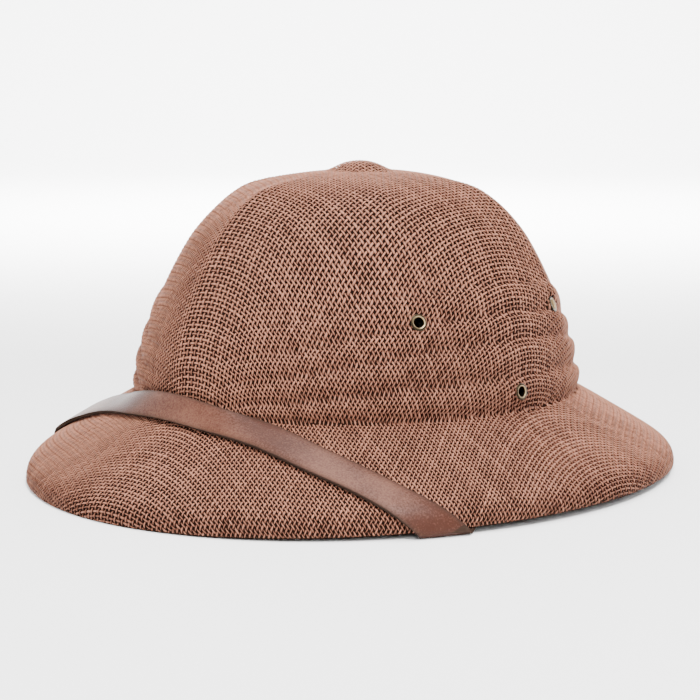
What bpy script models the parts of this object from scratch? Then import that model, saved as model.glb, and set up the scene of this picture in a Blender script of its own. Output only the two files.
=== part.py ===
"""Pith helmet: a woven straw cover moulded over a dark backing, a leather chin strap and six eyelets.

Metres, +Z up. The front of the helmet faces -Y, the wearer's left is +X, and the rim rests on Z = 0.
"""

import math

import bmesh
import bpy
from mathutils import Matrix, Vector

# Driving sizes of the crown, outside
CROWN_LENGTH = 0.2280
CROWN_WIDTH = 0.1990
CROWN_RISE = 0.1055
CREASE_HEIGHT = 0.0376
CREASE_TILT = 0.0020
BUTTON_RADIUS = 0.0175
BUTTON_RISE = 0.0040

# Driving sizes of the brim, from the crown out to the rim
BRIM_FRONT = 0.0520
BRIM_SIDE = 0.0475
BRIM_BACK = 0.0460
SIDE_LIFT = 0.0030
LIP_HEIGHT = 0.0020

# Walls, and the gaps between pieces that touch
COVER_WALL = 0.0013
BACKING_WALL = 0.0010
SHELL_GAP = 0.0006
EDGE_SHOW = 0.0006
CLEARANCE = 0.0003

# Relief moulded into the cover
RIDGE_COUNT = 6
RIDGE_RISE = 0.0014
RIDGE_SPREAD = math.radians(6.0)
RIDGE_FOOT_FADE = 0.12
RIDGE_TOP_FADE = (0.88, 0.995)
PLEAT_DEPTH = 0.0016
PLEAT_FULL_HEIGHT = 0.0115
PLEAT_FADE = 0.80
PLEAT_FADE_SPREAD = math.radians(20.0)
PLEAT_SWEEP_POWER = 2.4

# Chin strap
STRAP_WIDTH = 0.0150
STRAP_THICKNESS = 0.0015
STRAP_END = 0.0100
STRAP_LIFT = 0.0005
STRAP_STANDOFF = 0.0012
STRAP_SLACK = 0.0010
STRAP_REACH = 0.30

# How the strap's sections turn, as travels like those of STRAP_COURSE below: they lean to lie along the
# rim, stand square again past the inner crease, and settle from straight to the surface's own curve
STRAP_LEAN = (0.35, 0.85)
STRAP_LEAN_END = 0.12
STRAP_LEAN_LIMIT = 0.2
STRAP_SETTLE = (0.10, 0.45)
STRAP_FOLD_MARGIN = 0.02

# Eyelets
EYELET_RADIUS = 0.0038
EYELET_BORE = 0.00235
EYELET_BARREL = 0.00285
EYELET_FLANGE = 0.0007
EYELET_SIDES = 10
EYELET_SLACK = 0.0009
EYELET_DISH = 0.6
CUTTER_DEPTH = 0.0300

# Fineness of the shells, the strap and the searches
COLUMNS = 54
STRAP_STRIPS = 3
TRACK_STEPS = 24
NORMAL_STEP = 0.004
SOLVE_ROUNDS = 40
SEAT_STEPS = 16
SHARP_ANGLE = math.radians(40.0)

# Crown outline, from the crease up: height as a share of CROWN_RISE, reach as a share of the half axes
CROWN_PROFILE = (
    # rise, reach
    (0.000, 1.000),
    (0.200, 0.966),
    (0.400, 0.897),
    (0.580, 0.816),
    (0.730, 0.726),
    (0.850, 0.606),
    (0.935, 0.447),
    (0.983, 0.240),
    (1.000, 0.000),
)

# Brim outline, from the crease out: reach as a share of the brim's width, fall as a share of its drop
BRIM_PROFILE = (
    # reach, fall
    (0.000, 0.000),
    (0.240, 0.195),
    (0.490, 0.405),
    (0.725, 0.605),
    (0.900, 0.770),
    (0.975, 0.890),
    (1.000, 1.000),
)

# Pleats, from the highest: heights and falls as shares of CROWN_RISE, depth as a share of PLEAT_DEPTH
PLEATS = (
    # height at the side, fall towards the front, fall towards the back, depth
    (0.540, 0.190, 0.200, 0.80),
    (0.412, 0.188, 0.180, 0.85),
    (0.302, 0.178, 0.150, 0.90),
    (0.152, 0.112, 0.090, 1.25),
)

# One pleat, from its folded edge down to the next: place as a share of its height, relief as a share
# of its depth
PLEAT_SECTION = (
    # place, relief
    (0.00, 0.00),
    (0.22, 1.00),
    (0.60, 0.70),
)

# Eyelets of one side: angle from the front in degrees, height above the crease as a share of CROWN_RISE
EYELETS = (
    # name, angle, height, holds the strap
    ("front", 65.0, 0.396, False),
    ("low", 92.5, 0.082, True),
    ("rear", 117.0, 0.404, False),
)

# Middle line of one half of the strap: angle from the front in degrees, travel from the crease over the
# rim and back inside, as a share of the brim's slope
STRAP_COURSE = (
    # angle, travel
    (0.0, -0.005),
    (20.0, 0.075),
    (31.0, 0.190),
    (40.0, 0.375),
    (48.0, 0.585),
    (57.5, 0.930),
)

# Rings of the shells. Dome rings are shares of the way from the crown's top to the highest pleat, wall
# rings shares of CROWN_RISE, and brim rings shares of the way from the crease to the lip
COVER_DOME_RINGS = (0.10, 0.22, 0.36, 0.50, 0.64, 0.77, 0.89)
BACKING_DOME_RINGS = (0.20, 0.40, 0.60, 0.80)
BACKING_WALL_RINGS = (0.50, 0.24)
COVER_BRIM_RINGS = (0.17, 0.34, 0.50, 0.66, 0.80, 0.91, 1.00)
BACKING_BRIM_RINGS = (0.30, 0.58, 0.82, 1.00)

# Sections of the strap: angles in degrees over the front, then travels down the brim, then how many
# sections it takes to fold round the rim, to cross under the brim and to climb to its end
STRAP_FRONT_ANGLES = (0.0, 5.0, 10.0, 15.0, 20.0, 25.0, 30.0, 35.0, 40.0, 44.0)
STRAP_BRIM_TRAVELS = (0.54, 0.62, 0.70, 0.78, 0.86, 0.93, 1.00)
STRAP_FOLD_SECTIONS = 6
STRAP_UNDER_SECTIONS = 7
STRAP_END_SECTIONS = 6
STRAP_FOLD_ANGLE = 60.0
STRAP_INNER_ANGLE = 85.0
STRAP_ANGLE_RANGE = (30.0, 110.0)

MATERIALS = {
    # name: colour, roughness, metallic
    "straw": ((0.36, 0.19, 0.12, 1.0), 0.85, 0.0),
    "dark_backing": ((0.035, 0.015, 0.010, 1.0), 0.9, 0.0),
    "leather": ((0.17, 0.075, 0.045, 1.0), 0.45, 0.0),
    "brass": ((0.42, 0.36, 0.22, 1.0), 0.35, 1.0),
}


def clear_scene():
    for item in list(bpy.data.objects):
        bpy.data.objects.remove(item, do_unlink=True)


def smoothstep(low, high, value):
    share = min(max((value - low) / (high - low), 0.0), 1.0)
    return share * share * (3.0 - 2.0 * share)


def spline(rows, place):
    """Smooth curve through a table's rows. place runs from 0 at the first row to 1 at the last."""
    last = len(rows) - 1
    scaled = min(max(place, 0.0), 1.0) * last
    index = min(int(scaled), last - 1)
    share = scaled - index
    start, end = rows[index], rows[index + 1]
    before = rows[index - 1] if index > 0 else None
    after = rows[index + 2] if index + 2 <= last else None
    result = []
    for column in range(len(start)):
        a, b = start[column], end[column]
        slope_a = (b - before[column]) / 2 if before else b - a
        slope_b = (after[column] - a) / 2 if after else b - a
        cube, square = share ** 3, share ** 2
        value = (2 * cube - 3 * square + 1) * a + (cube - 2 * square + share) * slope_a
        value += (3 * square - 2 * cube) * b + (cube - square) * slope_b
        result.append(value)
    return result


def solve(function, target, low, high):
    """Place between low and high where a rising function reaches the target."""
    for _ in range(SOLVE_ROUNDS):
        middle = (low + high) / 2
        if function(middle) < target:
            low = middle
        else:
            high = middle
    return (low + high) / 2


def by_direction(angle, front, side, back):
    """Blends a size around the helmet from its values at the front, the sides and the back."""
    towards = front if math.cos(angle) > 0 else back
    return side + (towards - side) * math.cos(angle) ** 2


def crown_centre_y():
    return (BRIM_FRONT - BRIM_BACK) / 2


def crease_height(angle):
    return CREASE_HEIGHT + CREASE_TILT * math.cos(angle)


def brim_width(angle):
    return by_direction(angle, BRIM_FRONT, BRIM_SIDE, BRIM_BACK)


def rim_height(angle):
    """Height of the backing's rim, the lowest edge of the helmet."""
    return SIDE_LIFT * math.sin(angle) ** 2


def plan_point(angle):
    return Vector((math.sin(angle) * CROWN_WIDTH / 2, -math.cos(angle) * CROWN_LENGTH / 2, 0.0))


def plan_normal(angle):
    outward = Vector((math.sin(angle) * CROWN_LENGTH, -math.cos(angle) * CROWN_WIDTH, 0.0))
    return outward.normalized()


def crown_point(angle, rise, reach):
    """Point of the plain crown at shares of its height and of its half axes."""
    crease = crease_height(angle)
    top = CREASE_HEIGHT + CROWN_RISE
    point = plan_point(angle) * reach
    point.y += crown_centre_y()
    point.z = crease + (top - crease) * rise
    return point


def shell_point(angle, place):
    """Point of the plain outer surface. place is -1 at the crown's top, 0 at the crease and 1 at the lip."""
    if place <= 0.0:
        rise, reach = spline(CROWN_PROFILE, -place)
        return crown_point(angle, rise, reach)
    reach, fall = spline(BRIM_PROFILE, place)
    crease = crease_height(angle)
    point = plan_point(angle) + plan_normal(angle) * (reach * brim_width(angle))
    point.y += crown_centre_y()
    point.z = crease - fall * (crease - rim_height(angle) - EDGE_SHOW - LIP_HEIGHT)
    return point


def shell_normal(angle, place):
    """Outward normal of the plain surface, averaged over a short step each way."""
    step = NORMAL_STEP
    near = min(max(place, -1.0 + 2 * step), 1.0 - step)
    along = shell_point(angle, near + step) - shell_point(angle, near - step)
    across = shell_point(angle + step, near) - shell_point(angle - step, near)
    return across.cross(along).normalized() * -1.0


def place_at_rise(rise):
    return -solve(lambda place: spline(CROWN_PROFILE, place)[0], rise, 0.0, 1.0)


def pleat_height(row, angle):
    """Height of one pleat's folded edge as a share of the crown's rise."""
    side, front_fall, back_fall, _ = row
    fall = front_fall if math.cos(angle) > 0 else back_fall
    return side - fall * abs(math.cos(angle)) ** PLEAT_SWEEP_POWER


def pleat_strength(angle):
    turn = math.atan2(math.sin(angle), math.cos(angle))
    return 1.0 - PLEAT_FADE * math.exp(-((turn / PLEAT_FADE_SPREAD) ** 2))


def ridge_lift(angle, rise):
    """Soft ridges where the six panels meet. They run out at the top and at the highest pleat."""
    pitch = 2 * math.pi / RIDGE_COUNT
    turn = (angle + pitch / 2) % pitch - pitch / 2
    foot = pleat_height(PLEATS[0], angle)
    fade = smoothstep(foot, foot + RIDGE_FOOT_FADE, rise) * (1.0 - smoothstep(*RIDGE_TOP_FADE, rise))
    return RIDGE_RISE * fade * math.exp(-((turn / RIDGE_SPREAD) ** 2))


def button_lift(point):
    """Soft mound over the top button, which the cover hides."""
    distance = math.hypot(point.x, point.y - crown_centre_y())
    if distance >= BUTTON_RADIUS:
        return 0.0
    return BUTTON_RISE * (1.0 + math.cos(math.pi * distance / BUTTON_RADIUS)) / 2


def pleat_rings(angle):
    """Rise and relief of each ring through the pleats, from the highest fold down to the crease."""
    heights = [pleat_height(row, angle) for row in PLEATS] + [0.0]
    rings = []
    for row, upper, lower in zip(PLEATS, heights, heights[1:]):
        narrow = min((upper - lower) * CROWN_RISE / PLEAT_FULL_HEIGHT, 1.0)
        depth = PLEAT_DEPTH * row[3] * pleat_strength(angle) * narrow
        for place, relief in PLEAT_SECTION:
            rings.append((upper + (lower - upper) * place, depth * relief))
    return rings + [(0.0, 0.0)]


def pleat_relief(angle, rise):
    """Relief of the pleats at any height, read from the same rings that the cover is made of."""
    rings = pleat_rings(angle)
    for (high, upper), (low, lower) in zip(rings, rings[1:]):
        if low <= rise <= high:
            share = (high - rise) / max(high - low, 1e-9)
            return upper + (lower - upper) * share
    return 0.0


def cover_column(angle):
    """Points of the cover's outer face down one column, from just below the top to the rim."""
    points = []
    start = place_at_rise(pleat_height(PLEATS[0], angle))
    for share in COVER_DOME_RINGS:
        place = -1.0 + (start + 1.0) * share
        rise = spline(CROWN_PROFILE, -place)[0]
        point = shell_point(angle, place)
        point.z += button_lift(point)
        points.append(point + shell_normal(angle, place) * ridge_lift(angle, rise))
    for rise, relief in pleat_rings(angle):
        place = place_at_rise(rise)
        points.append(shell_point(angle, place) + shell_normal(angle, place) * relief)
    for place in COVER_BRIM_RINGS:
        points.append(shell_point(angle, place))
    edge = points[-1].copy()
    edge.z = rim_height(angle) + EDGE_SHOW
    return points + [edge]


def backing_point(angle, place):
    """Point of the backing's outer face, which lies under the cover all the way."""
    return shell_point(angle, place) - shell_normal(angle, place) * (COVER_WALL + SHELL_GAP)


def backing_crown_column(angle):
    """Points of the backing's crown down one column, to just above the crease."""
    start = place_at_rise(PLEATS[0][0])
    places = [-1.0 + (start + 1.0) * share for share in BACKING_DOME_RINGS]
    for rise in BACKING_WALL_RINGS + (CLEARANCE / CROWN_RISE,):
        places.append(place_at_rise(rise))
    return [backing_point(angle, place) for place in places]


def backing_brim_column(angle):
    """Points of the backing's brim down one column, from the crease to the rim."""
    points = [backing_point(angle, place) for place in (0.0,) + BACKING_BRIM_RINGS]
    edge = points[-1].copy()
    edge.z = rim_height(angle)
    return points + [edge]


def loft(name, column, top, wall, material):
    """Shell through one column of points for each angle, with its wall on the inside.

    It is closed by the top point. With no top point it is a ring.
    """
    mesh = bmesh.new()
    pole = mesh.verts.new(top) if top else None
    columns = []
    for index in range(COLUMNS):
        angle = 2 * math.pi * index / COLUMNS
        columns.append([mesh.verts.new(point) for point in column(angle)])
    for index, right in enumerate(columns):
        left = columns[(index + 1) % COLUMNS]
        if pole:
            mesh.faces.new((pole, right[0], left[0]))
        for ring in range(len(right) - 1):
            mesh.faces.new((right[ring], right[ring + 1], left[ring + 1], left[ring]))
    shell = add_mesh_object(name, mesh, material)
    solidify = shell.modifiers.new("wall", "SOLIDIFY")
    solidify.thickness = wall
    solidify.offset = -1.0
    solidify.use_even_offset = True
    return shell


def add_mesh_object(name, mesh, material):
    data = bpy.data.meshes.new(name)
    mesh.to_mesh(data)
    mesh.free()
    data.materials.append(material)
    data.shade_smooth()
    data.set_sharp_from_angle(angle=SHARP_ANGLE)
    item = bpy.data.objects.new(name, data)
    bpy.data.collections["pith_helmet"].objects.link(item)
    return item


def shell_thickness():
    """From the cover's plain outer face to the backing's inner face."""
    return COVER_WALL + SHELL_GAP + BACKING_WALL


def strap_track(angle):
    """The way a strap can lie in one upright plane: its points, their distances from the crease and the
    distance to the rim. It runs down the crown's foot and the brim, round the lip and back up inside."""
    crown_foot = place_at_rise(STRAP_REACH)
    outside = [crown_foot * (1.0 - index / TRACK_STEPS) for index in range(TRACK_STEPS)]
    outside += [index / TRACK_STEPS for index in range(TRACK_STEPS + 1)]
    track = []
    for place in outside:
        lift = STRAP_LIFT + (STRAP_STANDOFF if place < 0.0 else 0.0)
        track.append(shell_point(angle, place) + shell_normal(angle, place) * lift)
    outward = plan_normal(angle)
    lip = shell_point(angle, 1.0)
    inner_end = shell_thickness() + STRAP_SLACK
    bottom = rim_height(angle) - CLEARANCE
    for reach, height in (
        (STRAP_LIFT, bottom + STRAP_LIFT),
        (0.0, bottom),
        (-shell_thickness() / 2, bottom),
        (-shell_thickness(), bottom),
        (-inner_end, bottom + STRAP_SLACK),
    ):
        point = lip + outward * reach
        point.z = height
        track.append(point)
    for place in reversed(outside):
        track.append(shell_point(angle, place) - shell_normal(angle, place) * inner_end)
    distances = [0.0]
    for point, after in zip(track, track[1:]):
        distances.append(distances[-1] + (after - point).length)
    crease = distances[TRACK_STEPS]
    return track, [distance - crease for distance in distances], distances[2 * TRACK_STEPS] - crease


def strap_ground(angle, travel):
    """Point of the strap's track. travel is a share of the brim's slope, counted from the crease."""
    track, distances, slope = strap_track(angle)
    distance = travel * slope
    index = 0
    while index < len(track) - 2 and distance > distances[index + 1]:
        index += 1
    span = distances[index + 1] - distances[index]
    return track[index].lerp(track[index + 1], (distance - distances[index]) / span)


def inner_crease_travel(angle):
    """Travel at which the strap's track turns from the underside of the brim up into the crown."""
    _, distances, slope = strap_track(angle)
    return distances[-1 - TRACK_STEPS] / slope


def strap_course():
    """Rows of the strap's middle line, ending inside the crown at the eyelet that holds it."""
    holding = [row for row in EYELETS if row[3]][0]
    angle = math.radians(holding[1])
    slope = strap_track(angle)[2]
    anchor = inner_crease_travel(angle) + CROWN_RISE * holding[2] / slope
    return STRAP_COURSE + ((holding[1], anchor),)


def course_travel(course, angle):
    """Travel of the middle line at an angle in degrees, along a smooth curve that never turns back."""
    slopes = []
    for index in range(len(course)):
        low = course[max(index - 1, 0)]
        high = course[min(index + 1, len(course) - 1)]
        slopes.append((high[1] - low[1]) / (high[0] - low[0]))
    slopes[0] = 0.0
    index = 0
    while index < len(course) - 2 and angle > course[index + 1][0]:
        index += 1
    (start, a), (end, b) = course[index], course[index + 1]
    span = end - start
    share = (angle - start) / span
    if share > 1.0:
        return b + slopes[-1] * (angle - end)
    cube, square = share ** 3, share ** 2
    value = (2 * cube - 3 * square + 1) * a + (cube - 2 * square + share) * slopes[index] * span
    return value + (3 * square - 2 * cube) * b + (cube - square) * slopes[index + 1] * span


def strap_sections(course):
    """Angles of the strap's sections: even over the front, close together where it folds round an edge."""
    slope = strap_track(math.radians(STRAP_FOLD_ANGLE))[2]
    fold = (LIP_HEIGHT + shell_thickness() + STRAP_SLACK) / slope + STRAP_FOLD_MARGIN
    crease = inner_crease_travel(math.radians(STRAP_INNER_ANGLE))
    end = course[-1][1] + STRAP_END / slope
    travels = list(STRAP_BRIM_TRAVELS)
    for stop, count in (
        (travels[-1] + fold, STRAP_FOLD_SECTIONS),
        (crease, STRAP_UNDER_SECTIONS),
        (end, STRAP_END_SECTIONS),
    ):
        start = travels[-1]
        travels += [start + (stop - start) * (index + 1) / count for index in range(count)]
    angles = list(STRAP_FRONT_ANGLES)
    for travel in travels:
        angles.append(solve(lambda angle: course_travel(course, angle), travel, *STRAP_ANGLE_RANGE))
    return angles


def strap_row(course, angle):
    """Places along one section of the strap, from its upper edge to its lower edge, as angles and travels.

    A section runs square across the strap at the front. Nearer the rim it leans until it lies along the
    rim, so that the strap folds round the rim in a straight line.
    """
    turn = math.radians(angle)
    travel = course_travel(course, angle)
    slope = strap_track(turn)[2]
    step = math.radians(1.0)
    around = (strap_ground(turn + step, travel) - strap_ground(turn, travel)).length
    rate = (course_travel(course, angle + 0.5) - course_travel(course, angle - 0.5)) * slope
    run = Vector((around, rate)).normalized()
    crease = inner_crease_travel(turn)
    lean = smoothstep(*STRAP_LEAN, travel) * (1.0 - smoothstep(crease, crease + STRAP_LEAN_END, travel))
    across = Vector((-run.y, run.x)) - run * lean * run.x / max(run.y, STRAP_LEAN_LIMIT)
    row = []
    for index in range(STRAP_STRIPS + 1):
        offset = (2.0 * index / STRAP_STRIPS - 1.0) * STRAP_WIDTH / 2
        row.append((turn + across.x * offset * step / around, travel + across.y * offset / slope))
    return row


def strap_points(course, angle):
    """Points of one section. Over the crease it is straight, and on the brim it follows the surface."""
    grounds = [strap_ground(turn, travel) for turn, travel in strap_row(course, angle)]
    settled = smoothstep(*STRAP_SETTLE, course_travel(course, angle))
    points = []
    for index, ground in enumerate(grounds):
        straight = grounds[0].lerp(grounds[-1], index / STRAP_STRIPS)
        points.append(straight.lerp(ground, settled))
    return points


def build_strap(material, cutters):
    """Leather strip over the front of the brim, round the rim on both sides and up to the low eyelets."""
    course = strap_course()
    mesh = bmesh.new()
    rows = []
    for angle in strap_sections(course):
        points = strap_points(course, angle)
        if angle == 0.0:
            for point in points:
                point.x = 0.0
        rows.append([mesh.verts.new(point) for point in points])
    for row, after in zip(rows, rows[1:]):
        for index in range(STRAP_STRIPS):
            mesh.faces.new((row[index], row[index + 1], after[index + 1], after[index]))
    strap = add_mesh_object("chin_strap", mesh, material)
    mirror = strap.modifiers.new("other_half", "MIRROR")
    mirror.merge_threshold = 0.0001
    solidify = strap.modifiers.new("thickness", "SOLIDIFY")
    solidify.thickness = STRAP_THICKNESS
    solidify.offset = 1.0
    solidify.use_even_offset = True
    cut(strap, cutters)
    return strap


def eyelet_frame(angle, height):
    """Turn and place of an eyelet: its Z along the wall's normal, its origin on the plain outer face."""
    place = place_at_rise(height)
    normal = shell_normal(angle, place)
    turn = normal.to_track_quat("Z", "Y").to_matrix().to_4x4()
    return Matrix.Translation(shell_point(angle, place)) @ turn


def eyelet_seat(angle, height):
    """How far the cover's relief stands up under an eyelet's flange."""
    radius_rise = EYELET_RADIUS / CROWN_RISE
    radius_turn = EYELET_RADIUS / (CROWN_WIDTH / 2)
    reliefs = [pleat_relief(angle, height)]
    for index in range(SEAT_STEPS):
        turn = 2 * math.pi * index / SEAT_STEPS
        rise = max(height + radius_rise * math.sin(turn), 0.0)
        reliefs.append(pleat_relief(angle + radius_turn * math.cos(turn), rise))
    return max(reliefs)


def build_eyelet(name, angle, height, holds_strap, material):
    """Flanged tube, turned about its own axis, clear of the walls that it goes through."""
    outer = eyelet_seat(angle, height) + CLEARANCE
    inner = shell_thickness() + EYELET_SLACK
    if holds_strap:
        inner = shell_thickness() + STRAP_SLACK + STRAP_THICKNESS + CLEARANCE
    edge = EYELET_FLANGE / 2
    profile = (
        (EYELET_BORE, outer + EYELET_FLANGE * EYELET_DISH),
        (EYELET_BARREL, outer + EYELET_FLANGE),
        (EYELET_RADIUS - edge, outer + EYELET_FLANGE),
        (EYELET_RADIUS, outer),
        (EYELET_BARREL, outer),
        (EYELET_BARREL, -inner),
        (EYELET_RADIUS, -inner),
        (EYELET_RADIUS - edge, -inner - EYELET_FLANGE),
        (EYELET_BORE, -inner - EYELET_FLANGE),
    )
    mesh = bmesh.new()
    ring = [mesh.verts.new((radius, 0.0, rise)) for radius, rise in profile]
    for index, vertex in enumerate(ring):
        mesh.edges.new((vertex, ring[(index + 1) % len(ring)]))
    eyelet = add_mesh_object(name, mesh, material)
    screw = eyelet.modifiers.new("turned", "SCREW")
    screw.steps = EYELET_SIDES
    screw.render_steps = EYELET_SIDES
    screw.use_merge_vertices = True
    screw.merge_threshold = 0.00001
    eyelet.matrix_world = eyelet_frame(angle, height)
    return eyelet


def build_cutter(name, angle, height):
    """Cylinder that clears the way for one eyelet's barrel."""
    mesh = bmesh.new()
    radius = EYELET_BARREL + CLEARANCE
    bmesh.ops.create_cone(
        mesh, cap_ends=True, segments=EYELET_SIDES, radius1=radius, radius2=radius, depth=CUTTER_DEPTH
    )
    data = bpy.data.meshes.new(name)
    mesh.to_mesh(data)
    mesh.free()
    cutter = bpy.data.objects.new(name, data)
    bpy.data.collections["cutters"].objects.link(cutter)
    cutter.matrix_world = eyelet_frame(angle, height)
    cutter.hide_render = True
    cutter.display_type = "WIRE"
    return cutter


def cut(target, cutters):
    for cutter in cutters:
        boolean = target.modifiers.new(cutter.name, "BOOLEAN")
        boolean.operation = "DIFFERENCE"
        boolean.solver = "EXACT"
        boolean.object = cutter


def make_material(name):
    colour, roughness, metallic = MATERIALS[name]
    material = bpy.data.materials.new(name)
    material.use_nodes = True
    shader = material.node_tree.nodes["Principled BSDF"]
    shader.inputs["Base Color"].default_value = colour
    shader.inputs["Roughness"].default_value = roughness
    shader.inputs["Metallic"].default_value = metallic
    return material


def eyelet_places():
    """Every eyelet of both sides: name, angle from the front, height share and whether it holds the strap."""
    places = []
    for side, sign in (("left", 1), ("right", -1)):
        for place, angle, height, holds_strap in EYELETS:
            places.append((f"eyelet_{side}_{place}", sign * math.radians(angle), height, holds_strap))
    return places


def main():
    clear_scene()
    for name in ("pith_helmet", "cutters"):
        bpy.context.scene.collection.children.link(bpy.data.collections.new(name))
    materials = {name: make_material(name) for name in MATERIALS}
    places = eyelet_places()
    cutters = [build_cutter(f"hole_{name}", angle, height) for name, angle, height, _ in places]
    strap_cutters = [cutter for cutter, place in zip(cutters, places) if place[3]]

    top = crown_point(0.0, 1.0, 0.0)
    cover_top = top + Vector((0.0, 0.0, BUTTON_RISE))
    backing_top = top - Vector((0.0, 0.0, COVER_WALL + SHELL_GAP))
    cover = loft("straw_cover", cover_column, cover_top, COVER_WALL, materials["straw"])
    cut(cover, cutters)
    dark = materials["dark_backing"]
    backing_crown = loft("backing_crown", backing_crown_column, backing_top, BACKING_WALL, dark)
    cut(backing_crown, cutters)
    loft("backing_brim", backing_brim_column, None, BACKING_WALL, dark)
    build_strap(materials["leather"], strap_cutters)
    for name, angle, height, holds_strap in places:
        build_eyelet(name, angle, height, holds_strap, materials["brass"])


main()
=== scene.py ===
"""Dresses the pith helmet: interlaced straw over a dark backing, a leather strap and brass eyelets.

Metres, +Z up. The front of the helmet faces -Y and the wearer's left is +X.
"""

import math

import bmesh
import bpy
import numpy as np
from mathutils import Matrix, Vector


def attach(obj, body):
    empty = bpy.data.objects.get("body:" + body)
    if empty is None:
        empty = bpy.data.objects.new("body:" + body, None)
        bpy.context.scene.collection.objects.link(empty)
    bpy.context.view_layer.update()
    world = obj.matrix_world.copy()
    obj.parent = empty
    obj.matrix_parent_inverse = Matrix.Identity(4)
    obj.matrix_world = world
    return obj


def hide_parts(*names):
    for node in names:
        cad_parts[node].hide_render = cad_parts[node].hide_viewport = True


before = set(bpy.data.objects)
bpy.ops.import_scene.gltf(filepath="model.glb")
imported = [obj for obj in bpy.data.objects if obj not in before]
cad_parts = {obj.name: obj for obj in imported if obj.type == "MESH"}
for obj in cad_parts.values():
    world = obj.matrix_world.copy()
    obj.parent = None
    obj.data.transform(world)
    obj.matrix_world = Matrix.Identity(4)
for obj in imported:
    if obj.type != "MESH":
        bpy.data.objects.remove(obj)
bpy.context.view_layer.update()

bl_info = {
    "name": "Pith helmet",
    "version": (1, 0, 0),
    "blender": (4, 5, 0),
    "location": "View3D > Sidebar > Helmet",
    "description": "Builds a woven straw pith helmet over its frame",
    "category": "Object",
}

# Outline of the crown, from the crease up, as shares of its rise and of its half axes
CROWN_PROFILE = (
    # rise, reach
    (0.000, 1.000),
    (0.200, 0.966),
    (0.400, 0.897),
    (0.580, 0.816),
    (0.730, 0.726),
    (0.850, 0.606),
    (0.935, 0.447),
    (0.983, 0.240),
    (1.000, 0.000),
)

# Outline of the brim, from the crease out, as shares of its width and of its drop
BRIM_PROFILE = (
    # reach, fall
    (0.000, 0.000),
    (0.240, 0.195),
    (0.490, 0.405),
    (0.725, 0.605),
    (0.900, 0.770),
    (0.975, 0.890),
    (1.000, 1.000),
)

# Pleats, from the highest, as shares of the crown's rise and of the pleats' depth
PLEATS = (
    # height at the side, fall towards the front, fall towards the back, depth
    (0.540, 0.190, 0.200, 0.90),
    (0.412, 0.188, 0.180, 0.95),
    (0.302, 0.178, 0.150, 1.05),
    (0.152, 0.112, 0.090, 1.30),
)

# One pleat, from its folded edge down to the next: share of the way down, share of its depth, painted shade
# under the fold
PLEAT_SECTION = (
    # place, relief, shade
    (0.00, -0.30, 1.00),
    (0.09, 0.30, 0.40),
    (0.22, 0.92, 0.00),
    (0.42, 1.00, 0.00),
    (0.64, 0.66, 0.25),
    (0.84, 0.08, 0.80),
    (1.00, -0.30, 1.00),
)

# Eyelets of one side: angle from the front in degrees, height above the crease as a share of the rise
EYELETS = (
    # name, angle, height, holds the strap
    ("front", 65.0, 0.396, False),
    ("low", 92.5, 0.082, True),
    ("rear", 117.0, 0.404, False),
)

# A strand through one repeat of the weave: pitches along it, counted from where it lies on top
STRAND_ROWS = (-0.50, -0.22, 0.22, 0.50, 0.67, 1.33, 1.50)
HIDDEN_SPAN = (0.67, 1.33)

# Relief of the crown: its ridges, its pleats and the mound on top
RIDGE_COUNT = 6
RIDGE_ROUNDING = math.radians(0.8)
RIDGE_SHARPNESS = 2.8
RIDGE_FOOT_FADE = 0.40
RIDGE_TOP_FADE = (0.88, 0.995)
PLEAT_FULL_HEIGHT = 0.0115
PLEAT_FADE = 0.80
PLEAT_FADE_SPREAD = math.radians(20.0)
PLEAT_SWEEP_POWER = 2.4
BUTTON_FLATNESS = 1.5

# Fineness of the sampled form and of the smooth pieces
ANGLE_STEPS = 360
PLACE_STEPS = 240
LIP_STEPS = 8
SHARE_STEPS = 640
BACKING_COLUMNS = 180
BACKING_ROWS = 160
BACKING_OUTER_ROWS = 109
DRAPE_ROUNDS = 14
MERGE_DISTANCE = 0.00001
SMALLEST_LENGTH = 1e-12
ROLL_STEPS = 6
SEAT_STEPS = 16
EYELET_STEPS = 40
DRILL_SIDES = 24
DRILL_DEPTH = 0.03
FACE_CORNERS = 4

# How much backing may sink under the pleats, and how far it is raised, in clearances
BACKING_SINK = 3
BACKING_LIFT = 2

# Eyelets: room behind the backing in clearances, the barrel's wall as a share of the flange's
# thickness, how far inside the middle of the roll its brass is bright, as wear and as a painted highlight,
# as a share of half its width, and how far round the flange the cloth is pressed, in the flange's radii
EYELET_ROOM = 3
BARREL_SHARE = 0.7
RUBBED_HIGHLIGHT_INSET = 0.1
PRESS_SPREAD = 1.6

# Strap: flat faces to join, edges to ease and how much, and where it is shaded sharp
JOIN_FACE_ANGLE = math.radians(25.0)
JOIN_SHAPE_ANGLE = math.radians(40.0)
CUT_EDGE_ANGLE = math.radians(50.0)
CUT_EDGE_SHARE = 0.22
CUT_EDGE_SEGMENTS = 2
SHARP_ANGLE = math.radians(45.0)

# How strands stray, vary in width and drift in colour, and their painted shade in pleat folds and at the rim.
# A wave has a size and radians for each pitch.
WEAVE_SEED = 7
STRAND_LIMIT = 4096
STRAY_SPREAD = 0.5
STRAY_WAVES = ((0.9, 0.83), (0.7, 0.27))
WIDTH_SPREAD = 0.10
WIDTH_WAVES = ((0.12, 0.61), (0.08, 1.37))
WIDTH_LIMIT = 0.3
TONE_SPREAD = 0.6
TONE_DRIFT = (0.2, 0.21)
PLEAT_SHADE = 0.31
# Painted shade towards the rim: how much, and the shares of the way down where it starts and is full
RIM_SHADE = 0.5
RIM_SHADE_SPAN = (0.94, 0.99)

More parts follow.
